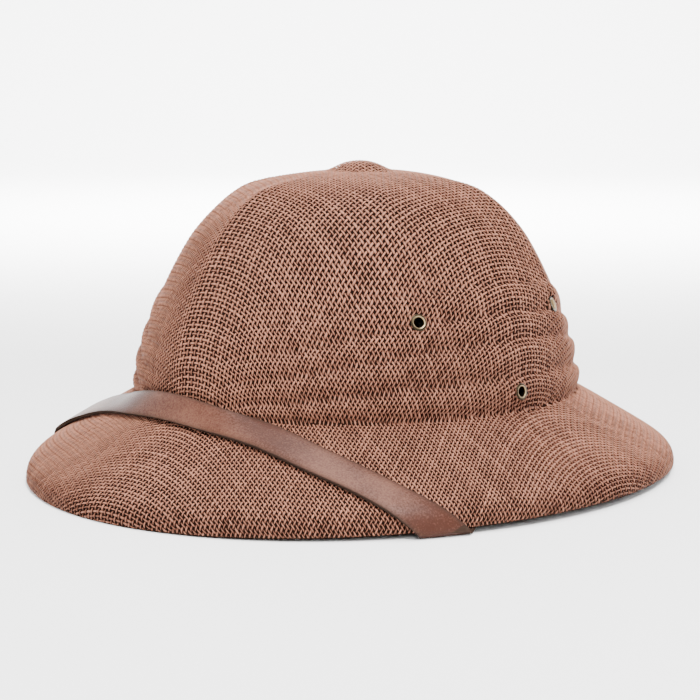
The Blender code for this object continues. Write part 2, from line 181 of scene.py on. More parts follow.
# Materials: scales of their patches and specks, plain finishes (roughness, specular level), and bumps
# (strength, height in metres)
MOTTLE_SCALES = {
    "straw": (26.0, 1400.0),
    "dark_backing": (18.0, 700.0),
    "leather": (32.0, 1300.0),
    "brass": (420.0, 2600.0),
    "stage": (3.0, 900.0),
}
MOTTLE_DETAIL = (4.0, 2.0)
FINISHES = {"straw": (0.55, 0.10), "dark_backing": (0.9, 0.05), "stage": (0.95, 0.1)}
BUMPS = {
    "straw": (0.5, 0.00015),
    "dark_backing": (0.6, 0.0003),
    "leather": (0.4, 0.00016),
    "brass": (0.12, 0.00008),
}

# What makes a strand light: its own colour with painted shade in the pleats' folds and at the rim, fibres,
# patches, painted shade at its edges, specks, and painted light where it rises and painted shade where it
# dips
STRAW_SHARES = (0.55, 0.42, 0.30, -0.74, 0.10, 0.28)
STRAW_EDGE_SHADE_POWER = 2.0
FIBRE_STRETCH = (7.0, 0.9, 1.0)
FIBRE_SCALE = 1.6
FIBRE_DETAIL = 3.0

# Patterns of the backing and the leather, and how masks are spread: middle and gain
THREAD_SCALE = 900.0
BACKING_LIGHTER = 2.6
LINING_DARKER = 0.6
GRAIN_SCALE = 1500.0
LEATHER_PATCHES = (0.38, 3.6)
LEATHER_SPECKS = (0.5, 2.0)
LEATHER_EDGE_POWER = 5.0
LEATHER_SHEEN = 0.12
BRASS_WORN = (0.36, 3.2)
STAGE_PALER = 1.03

# Roughness that follows a mask: share of the mask and lowest value
LEATHER_ROUGHNESS = (0.16, 0.34)
BRASS_ROUGHNESS = (0.25, 0.22)

# Stage: the floor's radius, the bend up into the wall and the wall's top, in metres
FLOOR_RADIUS = 2.6
WALL_BEND = 1.2
WALL_TOP = 3.4
WALL_BEND_ANGLES = range(10, 91, 10)
STAGE_STEPS = 72
WORLD_STRENGTH = 0.65

# Lights: place in metres towards the camera, to its right and up, diameter, watts and where it aims,
# which is the helmet if nothing is given
LIGHTS = (
    ("key", (0.90, 0.25, 1.45), 0.50, 65.0, None),
    ("fill", (1.50, 0.20, 0.70), 1.20, 14.0, None),
    ("top", (-0.20, 0.00, 1.70), 0.90, 34.0, None),
    ("wall", (-1.50, 0.00, 1.50), 1.60, 290.0, (-3.3, 0.0, 0.1)),
)

# How the camera saw the helmet, fitted to its outline in a square picture
CAMERA_PIVOT = Vector((0.0, 0.0, 0.073))
CAMERA_AZIMUTH = math.radians(46.19)
CAMERA_ELEVATION = math.radians(7.51)
CAMERA_DISTANCE = 0.8744
CAMERA_LENS = 93.2
CAMERA_SENSOR = 36.0
CAMERA_SHIFT = (-0.0071, -0.0524)


def length_setting(name, description, default):
    return bpy.props.FloatProperty(name=name, description=description, default=default, unit="LENGTH")


def colour_setting(name, description, default):
    return bpy.props.FloatVectorProperty(
        name=name, description=description, default=default, subtype="COLOR")


class HelmetSizes(bpy.types.PropertyGroup):
    """Sizes of the helmet's pieces."""

    crown_length: length_setting("Crown length", "Front to back, outside", 0.2280)
    crown_width: length_setting("Crown width", "Side to side, outside", 0.1990)
    crown_rise: length_setting("Crown rise", "From the crease to the top", 0.1055)
    crease_height: length_setting("Crease height", "Where the crown meets the brim", 0.0376)
    crease_tilt: length_setting("Crease tilt", "Lift of the crease at the front", 0.0020)
    button_radius: length_setting("Button radius", "Mound over the top button", 0.0175)
    button_rise: length_setting("Button rise", "Height of the mound", 0.0040)
    brim_front: length_setting("Brim front", "Width of the brim at the front", 0.0520)
    brim_side: length_setting("Brim side", "Width of the brim at the sides", 0.0475)
    brim_back: length_setting("Brim back", "Width of the brim at the back", 0.0460)
    side_lift: length_setting("Side lift", "How much the rim lifts at the sides", 0.0030)
    lip_height: length_setting("Lip height", "Upright edge of the rim", 0.0020)
    edge_show: length_setting("Backing edge", "Backing that shows under the rim", 0.0006)
    ridge_rise: length_setting("Ridge rise", "Height of the panel ridges", 0.0034)
    pleat_depth: length_setting("Pleat depth", "Relief of the pleats", 0.0016)
    backing_inset: length_setting("Backing inset", "From the cover's face to the shell", 0.0019)
    backing_wall: length_setting("Backing wall", "Thickness of the backing", 0.0010)
    eyelet_radius: length_setting("Eyelet radius", "Outside of the flange", 0.0038)
    eyelet_bore: length_setting("Eyelet bore", "Radius of the hole", 0.00235)
    eyelet_roll: length_setting("Eyelet roll", "How far the rolled flange stands up", 0.00042)
    eyelet_flange: length_setting("Eyelet flange", "Thickness of the flange", 0.0007)
    strap_slack: length_setting("Strap slack", "Room for the strap inside the crown", 0.0010)
    strap_thickness: length_setting("Strap thickness", "Thickness of the leather", 0.0015)
    clearance: length_setting("Clearance", "Gap between pieces that touch", 0.0003)


class StrawSettings(bpy.types.PropertyGroup):
    """Make of the woven straw."""

    pitch: length_setting("Pitch", "From one strand to the next", 0.00212)
    strand_share: bpy.props.FloatProperty(
        name="Strand width", description="Share of the pitch that is filled", default=0.45, subtype="FACTOR")
    wave: length_setting("Wave", "How far a strand rises and dips", 0.00026)
    crown_of_strand: length_setting("Strand crown", "How round a strand is", 0.00030)
    depth: length_setting("Cloth depth", "Cloth below the cover's face", 0.00050)
    shear: bpy.props.FloatProperty(
        name="Shear", description="How much the cloth closes up between its two directions", default=0.31)
    stretch: bpy.props.FloatProperty(
        name="Stretch", description="How much the cloth lengthens between its two directions", default=0.20)
    turn: bpy.props.FloatProperty(
        name="Turn", description="How far the cloth is turned on the helmet", default=math.radians(6.5),
        subtype="ANGLE")
    unevenness: bpy.props.FloatProperty(
        name="Unevenness", description="Straying as a share of the pitch", default=0.03, subtype="FACTOR")
    full_shear: length_setting("Full shear", "Distance from the top of full shear", 0.135)


class HelmetColours(bpy.types.PropertyGroup):
    """Colours of the helmet's materials."""

    straw_light: colour_setting("Straw light", "Light strands", (0.312, 0.135, 0.086))
    straw_dark: colour_setting("Straw dark", "Dark strands", (0.045, 0.0145, 0.0085))
    backing: colour_setting("Backing", "Stiff shell", (0.005, 0.002, 0.001))
    lining: colour_setting("Lining", "Inside of the shell", (0.095, 0.046, 0.029))
    leather_light: colour_setting("Leather light", "Worn leather", (0.112, 0.047, 0.031))
    leather_dark: colour_setting("Leather dark", "Darker leather", (0.045, 0.0145, 0.0085))
    leather_edge: colour_setting("Leather edge", "Cut edge", (0.034, 0.021, 0.016))
    brass: colour_setting("Brass", "Eyelets", (0.29, 0.215, 0.12))
    patina: colour_setting("Patina", "Old brass", (0.034, 0.025, 0.015))
    floor: colour_setting("Floor", "Stage", (0.93, 0.93, 0.93))


def smoothstep(low, high, value):
    share = np.clip((value - low) / (high - low), 0.0, 1.0)
    return share * share * (3.0 - 2.0 * share)


def spline(rows, place):
    """Smooth curve through a table's rows, for places from 0 to 1."""
    table = np.array(rows)
    slopes = np.gradient(table, axis=0)
    scaled = np.clip(place, 0.0, 1.0) * (len(rows) - 1)
    index = np.minimum(scaled.astype(int), len(rows) - 2)
    share = (scaled - index)[..., None]
    square = share ** 2
    cube = share ** 3
    value = (2 * cube - 3 * square + 1) * table[index] + (cube - 2 * square + share) * slopes[index]
    value += (3 * square - 2 * cube) * table[index + 1] + (cube - square) * slopes[index + 1]
    return value


def by_direction(angle, front, side, back):
    """A size that runs from its value at the front or the back to its value at the sides."""
    towards = np.where(np.cos(angle) > 0, front, back)
    return side + (towards - side) * np.cos(angle) ** 2


def rim_height(sizes, angle):
    return sizes.side_lift * np.sin(angle) ** 2


def plan_vectors(sizes, angle):
    """Points of the crease's oval and their outward directions."""
    point = np.stack((np.sin(angle) * sizes.crown_width / 2, -np.cos(angle) * sizes.crown_length / 2,
                      np.zeros_like(angle)), axis=-1)
    outward = np.stack((np.sin(angle) * sizes.crown_length, -np.cos(angle) * sizes.crown_width,
                        np.zeros_like(angle)), axis=-1)
    return point, outward / np.linalg.norm(outward, axis=-1, keepdims=True)


def pleat_height(row, angle):
    side, front_fall, back_fall, _ = row
    fall = np.where(np.cos(angle) > 0, front_fall, back_fall)
    return side - fall * np.abs(np.cos(angle)) ** PLEAT_SWEEP_POWER


def pleat_pattern(sizes, angle, rise, column):
    """Relief (column 1) or painted shade under the folds (column 2) of the four pleats at shares of the
    crown's rise.
    """
    turn = np.arctan2(np.sin(angle), np.cos(angle))
    strength = 1.0 - PLEAT_FADE * np.exp(-((turn / PLEAT_FADE_SPREAD) ** 2))
    heights = [pleat_height(row, angle) for row in PLEATS] + [np.zeros_like(angle)]
    places = [row[0] for row in PLEAT_SECTION]
    shares = [row[column] for row in PLEAT_SECTION]
    pattern = np.zeros_like(rise)
    for row, upper, lower in zip(PLEATS, heights, heights[1:]):
        narrow = np.minimum((upper - lower) * sizes.crown_rise / PLEAT_FULL_HEIGHT, 1.0)
        down = (upper - rise) / (upper - lower)
        inside = (down >= 0.0) & (down <= 1.0)
        pattern += np.where(inside, row[3] * strength * narrow * np.interp(down, places, shares), 0.0)
    return pattern


def ridge_relief(sizes, angle, rise):
    """Ridges where the crown's six flat panels meet."""
    pitch = 2 * math.pi / RIDGE_COUNT
    turn = (angle + pitch / 2) % pitch - pitch / 2
    foot = pleat_height(PLEATS[0], angle)
    fade = smoothstep(foot - RIDGE_FOOT_FADE, foot, rise) * (1.0 - smoothstep(*RIDGE_TOP_FADE, rise))
    beside = (np.hypot(turn, RIDGE_ROUNDING) - RIDGE_ROUNDING) / (pitch / 2)
    return sizes.ridge_rise * fade * np.maximum(1.0 - beside, 0.0) ** RIDGE_SHARPNESS


def surface_normals(points):
    """Outward normals of a sampled form, whose top row is a single point."""
    around = np.gradient(points, axis=0)
    around[0] = around[-1] = points[1] - points[-2]
    down = np.gradient(points, axis=1)
    normals = np.cross(down, around)
    lengths = np.linalg.norm(normals, axis=-1, keepdims=True)
    normals = normals / np.maximum(lengths, SMALLEST_LENGTH)
    normals[:, 0] = (0.0, 0.0, 1.0)
    return normals


def helmet_form(sizes, moulded, edge):
    """The helmet's outer face, sampled over directions and over shares of the way from the top to the rim.

    moulded adds the ridges and pleats. edge is how far the lip stops above the lowest rim.
    """
    angle = np.linspace(0.0, 2 * math.pi, ANGLE_STEPS + 1)[:, None]
    crown_place = np.linspace(1.0, 0.0, PLACE_STEPS)
    brim_place = np.linspace(0.0, 1.0, PLACE_STEPS)[1:]
    plan, outward = plan_vectors(sizes, angle)
    centre_y = (sizes.brim_front - sizes.brim_back) / 2
    crease = sizes.crease_height + sizes.crease_tilt * np.cos(angle)
    top = sizes.crease_height + sizes.crown_rise

    rise, reach = spline(CROWN_PROFILE, crown_place).T
    crown = plan * reach[None, :, None]
    crown[..., 2] = crease + (top - crease) * rise
    reach, fall = spline(BRIM_PROFILE, brim_place).T
    width = by_direction(angle, sizes.brim_front, sizes.brim_side, sizes.brim_back)
    brim = plan + outward * (reach * width)[..., None]
    drop = crease - rim_height(sizes, angle) - sizes.edge_show - sizes.lip_height
    brim[..., 2] = crease - fall * drop
    lip = np.repeat(brim[:, -1:], LIP_STEPS, axis=1)
    stop = rim_height(sizes, angle) + edge
    lip[..., 2] += (stop - lip[..., 2]) * np.arange(1, LIP_STEPS + 1) / LIP_STEPS
    plain = np.concatenate((crown, brim, lip), axis=1)
    plain[..., 1] += centre_y

    steps = np.linalg.norm(np.diff(plain, axis=1), axis=-1)
    travel = np.concatenate((np.zeros((len(angle), 1)), np.cumsum(steps, axis=1)), axis=1)
    points = plain.copy()
    if moulded:
        relief = np.zeros(plain.shape[:2])
        angles, rises = np.broadcast_arrays(angle, rise)
        relief[:, :PLACE_STEPS] = sizes.pleat_depth * pleat_pattern(sizes, angles, rises, 1)
        relief[:, :PLACE_STEPS] += ridge_relief(sizes, angles, rises)
        points += surface_normals(plain) * relief[..., None]
    distance = np.hypot(plain[..., 0], plain[..., 1] - centre_y) / sizes.button_radius
    slope = np.minimum(distance, 1.0) ** BUTTON_FLATNESS
    points[..., 2] += sizes.button_rise * np.cos(slope * math.pi / 2) ** 2
    return resample(points, travel)


def resample(points, travel):
    """The same form at even shares of each direction's length."""
    normals = surface_normals(points)
    length = travel[:, -1]
    share = np.linspace(0.0, 1.0, SHARE_STEPS + 1)
    rows = np.empty((len(points), SHARE_STEPS + 1, 6))
    for index in range(len(points)):
        for axis in range(3):
            target = share * length[index]
            rows[index, :, axis] = np.interp(target, travel[index], points[index, :, axis])
            rows[index, :, 3 + axis] = np.interp(target, travel[index], normals[index, :, axis])
    crease = travel[:, PLACE_STEPS - 1] / length
    return {"rows": rows, "length": length, "crease": crease}


def around(values, angle):
    """A value kept for each direction, read between directions."""
    scaled = (angle / (2 * math.pi) % 1.0) * ANGLE_STEPS
    index = np.minimum(scaled.astype(int), ANGLE_STEPS - 1)
    part = scaled - index
    return values[index] * (1.0 - part) + values[index + 1] * part


def sample(form, angle, share):
    """Points and outward normals of a form."""
    scaled = (angle / (2 * math.pi) % 1.0) * ANGLE_STEPS
    column = np.minimum(scaled.astype(int), ANGLE_STEPS - 1)
    across = (scaled - column)[:, None]
    down = np.clip(share, 0.0, 1.0) * SHARE_STEPS
    row = np.minimum(down.astype(int), SHARE_STEPS - 1)
    along = (down - row)[:, None]
    rows = form["rows"]
    near = rows[column, row] * (1.0 - along) + rows[column, row + 1] * along
    far = rows[column + 1, row] * (1.0 - along) + rows[column + 1, row + 1] * along
    value = near * (1.0 - across) + far * across
    normals = value[:, 3:]
    return value[:, :3], normals / np.linalg.norm(normals, axis=1, keepdims=True)


def drape(straw, x, y):
    """Where each point of the flat cloth comes to lie: its direction and its distance from the top.

    The cloth keeps square along its two directions and closes up and lengthens between them.
    """
    radius = np.hypot(x, y)
    turn = np.arctan2(x, -y)
    angle = turn.copy()
    distance = radius.copy()
    for _ in range(DRAPE_ROUNDS):
        bias = smoothstep(0.0, straw.full_shear, distance)
        angle = turn + straw.shear * bias * np.sin(4 * angle) / 4
        distance = radius / (1.0 - straw.stretch * bias * (1.0 - np.cos(4 * angle)) / 2)
    return angle + straw.turn, distance


def eyelet_places():
    """Every eyelet of both sides: name, angle, height share and whether it holds the strap."""
    places = []
    for side, sign in (("left", 1), ("right", -1)):
        for name, angle, height, holds_strap in EYELETS:
            places.append((f"eyelet_{side}_{name}", sign * math.radians(angle), height, holds_strap))
    return places


def share_at_rise(sizes, form, angle, height):
    """Share of the way from the top at which the crown has a height above the crease."""
    crease = sizes.crease_height + sizes.crease_tilt * math.cos(angle)
    target = crease + (sizes.crease_height + sizes.crown_rise - crease) * height
    shares = np.linspace(0.0, 1.0, SHARE_STEPS)
    points, _ = sample(form, np.full(SHARE_STEPS, angle), shares)
    return float(np.interp(-target, -points[:, 2], shares))


def eyelet_frame(sizes, form, angle, height):
    """Turn and place of an eyelet, its Z along the wall's normal."""
    share = share_at_rise(sizes, form, angle, height)
    points, normals = sample(form, np.array([angle]), np.array([share]))
    turn = Vector(normals[0]).to_track_quat("Z", "Y").to_matrix().to_4x4()
    return Matrix.Translation(Vector(points[0])) @ turn


def eyelet_seat(sizes, plain, moulded, angle, height):
    """Mean height of the moulded face above the plain one, round an eyelet's flange."""
    turn = np.linspace(0.0, 2 * math.pi, SEAT_STEPS)
    share = share_at_rise(sizes, plain, angle, height)
    length = float(around(plain["length"], np.array([angle]))[0])
    angles = angle + np.cos(turn) * sizes.eyelet_radius / (sizes.crown_width / 2)
    shares = share + np.sin(turn) * sizes.eyelet_radius / length
    base, normals = sample(plain, angles, shares)
    face, _ = sample(moulded, angles, shares)
    return float(((face - base) * normals).sum(axis=1).mean())


def new_object(name, mesh, material):
    mesh.materials.append(material)
    mesh.shade_smooth()
    piece = bpy.data.objects.new(name, mesh)
    bpy.context.scene.collection.objects.link(piece)
    return piece


def mesh_from(bm, name):
    mesh = bpy.data.meshes.new(name)
    bm.to_mesh(mesh)
    bm.free()
    return mesh


def new_group(name, inputs, outputs):
    """Empty node group with named sockets."""
    group = bpy.data.node_groups.new(name, "ShaderNodeTree")
    for side, sockets in (("INPUT", inputs), ("OUTPUT", outputs)):
        for label, kind in sockets:
            group.interface.new_socket(label, in_out=side, socket_type=kind)
    return group, group.nodes.new("NodeGroupInput"), group.nodes.new("NodeGroupOutput")


def math_node(tree, operation, first, second=None):
    node = tree.nodes.new("ShaderNodeMath")
    node.operation = operation
    for socket, value in zip(node.inputs, (first, second)):
        if value is None:
            continue
        if isinstance(value, (int, float)):
            socket.default_value = value
        else:
            tree.links.new(value, socket)
    return node.outputs[0]


def mix_colour(tree, factor, first, second):
    node = tree.nodes.new("ShaderNodeMix")
    node.data_type = "RGBA"
    tree.links.new(factor, node.inputs[0])
    for socket, value in ((node.inputs[6], first), (node.inputs[7], second)):
        if isinstance(value, bpy.types.NodeSocket):
            tree.links.new(value, socket)
        else:
            socket.default_value = (*value, 1.0)
    return node.outputs[2]


def mottle_group():
    """Soft uneven patches and fine specks, for any natural material."""
    if "mottle" in bpy.data.node_groups:
        return bpy.data.node_groups["mottle"]
    group, entry, out = new_group(
        "mottle",
        (("Vector", "NodeSocketVector"), ("Patch scale", "NodeSocketFloat"),
         ("Speck scale", "NodeSocketFloat")),
        (("Patches", "NodeSocketFloat"), ("Specks", "NodeSocketFloat")))
    for source, target, detail in zip(("Patch scale", "Speck scale"), ("Patches", "Specks"), MOTTLE_DETAIL):
        noise = group.nodes.new("ShaderNodeTexNoise")
        noise.inputs["Detail"].default_value = detail
        group.links.new(entry.outputs["Vector"], noise.inputs["Vector"])
        group.links.new(entry.outputs[source], noise.inputs["Scale"])
        group.links.new(noise.outputs[0], out.inputs[target])
    return group


def new_material(name):
    """Material with a Principled shader, its tree and its mottle node on Object coordinates."""
    material = bpy.data.materials.new(name)
    material.use_nodes = True
    tree = material.node_tree
    shader = tree.nodes["Principled BSDF"]
    place = tree.nodes.new("ShaderNodeTexCoord").outputs["Object"]
    mottle = tree.nodes.new("ShaderNodeGroup")
    mottle.node_tree = mottle_group()
    tree.links.new(place, mottle.inputs["Vector"])
    for label, scale in zip(("Patch scale", "Speck scale"), MOTTLE_SCALES[name]):
        mottle.inputs[label].default_value = scale
    if name in FINISHES:
        for label, value in zip(("Roughness", "Specular IOR Level"), FINISHES[name]):
            shader.inputs[label].default_value = value
    return material, tree, shader, mottle, place


def attribute_mask(tree, name):
    node = tree.nodes.new("ShaderNodeAttribute")
    node.attribute_name = name
    return node.outputs["Fac"]


def weighted_sum(tree, parts):
    """Sum of outputs, each times its share."""
    total = None
    for output, share in parts:
        part = math_node(tree, "MULTIPLY", output, share)
        total = part if total is None else math_node(tree, "ADD", total, part)
    return total


def spread(tree, mask, middle, gain):
    """A mask with more contrast round its middle."""
    return math_node(tree, "MULTIPLY", math_node(tree, "SUBTRACT", mask, middle), gain)


def cells(tree, place, scale):
    """Distance to the nearest of scattered points, as in grain and threads."""
    node = tree.nodes.new("ShaderNodeTexVoronoi")
    node.inputs["Scale"].default_value = scale
    tree.links.new(place, node.inputs["Vector"])
    return node.outputs["Distance"]


def set_roughness(tree, shader, mask, share, lowest):
    rough = math_node(tree, "ADD", math_node(tree, "MULTIPLY", mask, share), lowest)
    tree.links.new(rough, shader.inputs["Roughness"])


def bump(tree, shader, height, strength, distance):
    node = tree.nodes.new("ShaderNodeBump")
    node.inputs["Strength"].default_value = strength
    node.inputs["Distance"].default_value = distance
    tree.links.new(height, node.inputs["Height"])
    tree.links.new(node.outputs["Normal"], shader.inputs["Normal"])


def straw_material(colours):
    """Strands of differing colour with lengthwise fibres, painted shade at their edges and where they dip,
    and painted light where they rise.
    """
    material, tree, shader, mottle, _ = new_material("straw")
    # Colour of each strand, with its painted shade in the pleats' folds and at the rim
    tone_and_painted_shade = attribute_mask(tree, "tone_and_painted_shade")
    strand = tree.nodes.new("ShaderNodeUVMap")
    strand.uv_map = "strand"
    stretch = tree.nodes.new("ShaderNodeMapping")
    stretch.inputs["Scale"].default_value = FIBRE_STRETCH
    tree.links.new(strand.outputs[0], stretch.inputs["Vector"])
    fibre = tree.nodes.new("ShaderNodeTexNoise")
    fibre.inputs["Scale"].default_value = FIBRE_SCALE
    fibre.inputs["Detail"].default_value = FIBRE_DETAIL
    tree.links.new(stretch.outputs[0], fibre.inputs["Vector"])
    split = tree.nodes.new("ShaderNodeSeparateXYZ")
    tree.links.new(strand.outputs[0], split.inputs[0])
    # Painted shade towards each strand's edges, painted light where it rises and painted shade where it dips
    # under
    edge = math_node(tree, "POWER", math_node(tree, "ABSOLUTE", split.outputs["X"]), STRAW_EDGE_SHADE_POWER)
    crest_light_dip_shade = math_node(tree, "COSINE", math_node(tree, "MULTIPLY", split.outputs["Y"], math.pi))
    parts = (tone_and_painted_shade, fibre.outputs[0], mottle.outputs["Patches"], edge, mottle.outputs["Specks"], crest_light_dip_shade)
    light = weighted_sum(tree, zip(parts, STRAW_SHARES))
    light.node.use_clamp = True
    colour = mix_colour(tree, light, colours.straw_dark, colours.straw_light)
    tree.links.new(colour, shader.inputs["Base Color"])
    bump(tree, shader, fibre.outputs[0], *BUMPS["straw"])
    return material


def backing_material(colours):
    """Dark stiffened cloth outside and a lighter cloth lining inside."""
    material, tree, shader, mottle, place = new_material("dark_backing")
    lift = math_node(tree, "ADD", cells(tree, place, THREAD_SCALE), mottle.outputs["Specks"])
    lighter = tuple(min(value * BACKING_LIGHTER, 1.0) for value in colours.backing)
    shade = math_node(tree, "MULTIPLY", lift, mottle.outputs["Patches"])
    cloth = mix_colour(tree, shade, colours.backing, lighter)
    darker = tuple(value * LINING_DARKER for value in colours.lining)
    lining = mix_colour(tree, lift, darker, colours.lining)
    colour = mix_colour(tree, attribute_mask(tree, "inside"), cloth, lining)
    tree.links.new(colour, shader.inputs["Base Color"])
    bump(tree, shader, lift, *BUMPS["dark_backing"])
    return material


def leather_material(colours):
    """Smooth leather: fine grain, worn patches, a dark cut edge and a satin finish."""
    material, tree, shader, mottle, place = new_material("leather")
    grain = cells(tree, place, GRAIN_SCALE)
    patches = spread(tree, mottle.outputs["Patches"], *LEATHER_PATCHES)
    specks = spread(tree, mottle.outputs["Specks"], *LEATHER_SPECKS)
    patches = math_node(tree, "ADD", patches, specks)
    patches.node.use_clamp = True
    colour = mix_colour(tree, patches, colours.leather_dark, colours.leather_light)
    dark = math_node(tree, "POWER", attribute_mask(tree, "rim"), LEATHER_EDGE_POWER)
    colour = mix_colour(tree, dark, colour, colours.leather_edge)
    tree.links.new(colour, shader.inputs["Base Color"])
    set_roughness(tree, shader, mottle.outputs["Patches"], *LEATHER_ROUGHNESS)
    sheen = math_node(tree, "MULTIPLY", math_node(tree, "SUBTRACT", 1.0, dark), LEATHER_SHEEN)
    tree.links.new(sheen, shader.inputs["Specular IOR Level"])
    height = math_node(tree, "ADD", grain, mottle.outputs["Specks"])
    bump(tree, shader, height, *BUMPS["leather"])
    return material


def brass_material(colours):
    """Old brass: dark patina, bright on top of the inner roll as wear and as a painted highlight."""
    material, tree, shader, mottle, _ = new_material("brass")
    worn = spread(tree, mottle.outputs["Patches"], *BRASS_WORN)
    worn.node.use_clamp = True
    # Bright brass only on the inner roll's top, as wear and as a painted highlight
    worn = math_node(tree, "MULTIPLY", math_node(tree, "ADD", worn, 1.0), attribute_mask(tree, "rubbed_and_highlight"))
    worn.node.use_clamp = True
    tree.links.new(mix_colour(tree, worn, colours.patina, colours.brass), shader.inputs["Base Color"])
    set_roughness(tree, shader, mottle.outputs["Specks"], *BRASS_ROUGHNESS)
    shader.inputs["Metallic"].default_value = 1.0
    bump(tree, shader, mottle.outputs["Specks"], *BUMPS["brass"])
    return material


def stage_material(colours):
    material, tree, shader, mottle, _ = new_material("stage")
    paler = tuple(min(value * STAGE_PALER, 1.0) for value in colours.floor)
    colour = mix_colour(tree, mottle.outputs["Patches"], colours.floor, paler)
    tree.links.new(colour, shader.inputs["Base Color"])
    return material


def add_strand(bm, family, step, straw):
    """One strand of the repeat. It runs along Y, or along X for the second family, and step is its place."""
    rows = len(STRAND_ROWS)
    made = bmesh.ops.create_grid(bm, x_segments=2, y_segments=rows - 1, size=1.0)["verts"]
    mark = bm.verts.layers.float["family"]
    side = bm.verts.layers.float["across"]
    hidden = []
    for vertex in made:
        across = vertex.co.x
        row = round((vertex.co.y + 1.0) / 2.0 * (rows - 1))
        along = STRAND_ROWS[row]
        height = straw.wave * math.cos(math.pi * along) - straw.crown_of_strand * across * across
        place = step if family == 0 else step + 1
        offset = straw.pitch * (step + across * straw.strand_share / 2)
        run = straw.pitch * (along + place)
        vertex.co = (offset, run, height) if family == 0 else (run, offset, height)
        vertex[mark] = family
        vertex[side] = across
        if along in HIDDEN_SPAN:
            hidden.append(vertex)
    under = set(hidden)
    faces = {face for vertex in hidden for face in vertex.link_faces if under.issuperset(face.verts)}
    bmesh.ops.delete(bm, geom=list(faces), context="FACES")


def flat_cloth(straw, half):
    """Flat plain weave wide enough to cover the helmet, as the repeat and two arrays of it."""
    bm = bmesh.new()
    bm.verts.layers.float.new("family")
    bm.verts.layers.float.new("across")
    for family in (0, 1):
        for step in (0, 1):
            add_strand(bm, family, step, straw)
    bmesh.ops.recalc_face_normals(bm, faces=bm.faces)
    if sum(face.normal.z for face in bm.faces) < 0:
        bmesh.ops.reverse_faces(bm, faces=bm.faces)
    count = math.ceil(half / straw.pitch) + 1
    start = -straw.pitch * count
    bmesh.ops.translate(bm, verts=bm.verts, vec=(start, start, 0.0))
    tile = bpy.data.objects.new("weave_repeat", mesh_from(bm, "weave_repeat"))
    bpy.context.scene.collection.objects.link(tile)
    for axis in (0, 1):
        array = tile.modifiers.new(f"array_{axis}", "ARRAY")
        array.count = count
        array.use_relative_offset = False
        array.use_constant_offset = True
        array.constant_offset_displace = [2 * straw.pitch if axis == index else 0.0 for index in range(3)]
        array.use_merge_vertices = True
        array.merge_threshold = MERGE_DISTANCE
    graph = bpy.context.evaluated_depsgraph_get()
    mesh = bpy.data.meshes.new_from_object(tile.evaluated_get(graph))
    bpy.data.objects.remove(tile, do_unlink=True)
    return mesh


def read_vertices(mesh):
    flat = np.empty(len(mesh.vertices) * 3)
    mesh.vertices.foreach_get("co", flat)
    return flat.reshape(-1, 3)


def read_attribute(mesh, name):
    values = np.empty(len(mesh.vertices), dtype=np.float32)
    mesh.attributes[name].data.foreach_get("value", values)
    return values


def keep_faces(mesh, keep, name):
    """Copy of a mesh with only the faces that keep picks."""
    bm = bmesh.new()
    bm.from_mesh(mesh)
    bm.faces.ensure_lookup_table()
    drop = [face for face, wanted in zip(bm.faces, keep) if not wanted]
    bmesh.ops.delete(bm, geom=drop, context="FACES")
    return mesh_from(bm, name)


def strand_numbers(straw, flat, family, across):
    """For each point of the cloth: which strand it is on, and how far along it, in pitches."""
    first = family < 0.5
    beside = np.where(first, flat[:, 0], flat[:, 1]) / straw.pitch
    along = np.where(first, flat[:, 1], flat[:, 0]) / straw.pitch
    number = np.rint(beside - across * straw.strand_share / 2).astype(int)
    return number + STRAND_LIMIT // 2, along


def roughen(straw, flat, kind, across, number, along, random):
    """Strays each strand sideways and varies its width, as cut straw does."""
    phase = random.random((4, 2, STRAND_LIMIT)) * 2 * math.pi
    stray = random.normal(0.0, STRAY_SPREAD, (2, STRAND_LIMIT))[kind, number]
    for (size, rate), start in zip(STRAY_WAVES, phase[:2]):
        stray += size * np.sin(along * rate + start[kind, number])
    wide = random.normal(0.0, WIDTH_SPREAD, (2, STRAND_LIMIT))[kind, number]
    for (size, rate), start in zip(WIDTH_WAVES, phase[2:]):
        wide += size * np.sin(along * rate + start[kind, number])
    wide = np.clip(wide, -WIDTH_LIMIT, WIDTH_LIMIT)
    shift = stray * straw.unevenness + across * wide * straw.strand_share / 2
    rough = flat.copy()
    points = np.arange(len(flat))
    rough[points, kind] += shift * straw.pitch
    return rough


def press_cloth(sizes, faces, draped, form, plain):
    """Levels the cloth under each flange, and tells which points lie in a bore."""
    bored = np.zeros(len(draped), dtype=bool)
    for _, angle, height, _ in eyelet_places():
        turn = eyelet_frame(sizes, plain, angle, height)
        spot = np.array(turn.translation)
        axis = np.array(turn.to_3x3().col[2])
        level = (faces - spot) @ axis
        reach = np.linalg.norm(faces - spot - level[:, None] * axis, axis=1)
        near = (np.abs(level) < sizes.eyelet_radius) & (reach < sizes.eyelet_radius * PRESS_SPREAD)
        soft = 1.0 - smoothstep(sizes.eyelet_radius, sizes.eyelet_radius * PRESS_SPREAD, reach[near])
        seat = eyelet_seat(sizes, plain, form, angle, height)
        draped[near] += axis * (soft * (seat - level[near]))[:, None]
        bored |= near & (reach < sizes.eyelet_bore + sizes.eyelet_flange)
    return bored


def strand_tones(kind, number, along, random):
    """Tone of each strand, which drifts along it."""
    tone_and_painted_shade = random.random((2, STRAND_LIMIT))[kind, number] * TONE_SPREAD
    drift = random.random((2, STRAND_LIMIT))[kind, number] * 2 * math.pi
    size, rate = TONE_DRIFT
    return tone_and_painted_shade + size * (1.0 + np.sin(along * rate + drift))


def face_corners(mesh):
    """Vertices at each face's corners, four a face, and at the mesh's loops."""
    corner = np.empty(len(mesh.loops), dtype=np.int32)
    mesh.loops.foreach_get("vertex_index", corner)
    size = np.empty(len(mesh.polygons), dtype=np.int32)
    start = np.empty(len(mesh.polygons), dtype=np.int32)
    mesh.polygons.foreach_get("loop_total", size)
    mesh.polygons.foreach_get("loop_start", start)
    places = [start + np.minimum(index, size - 1) for index in range(FACE_CORNERS)]
    return corner[np.array(places)], corner


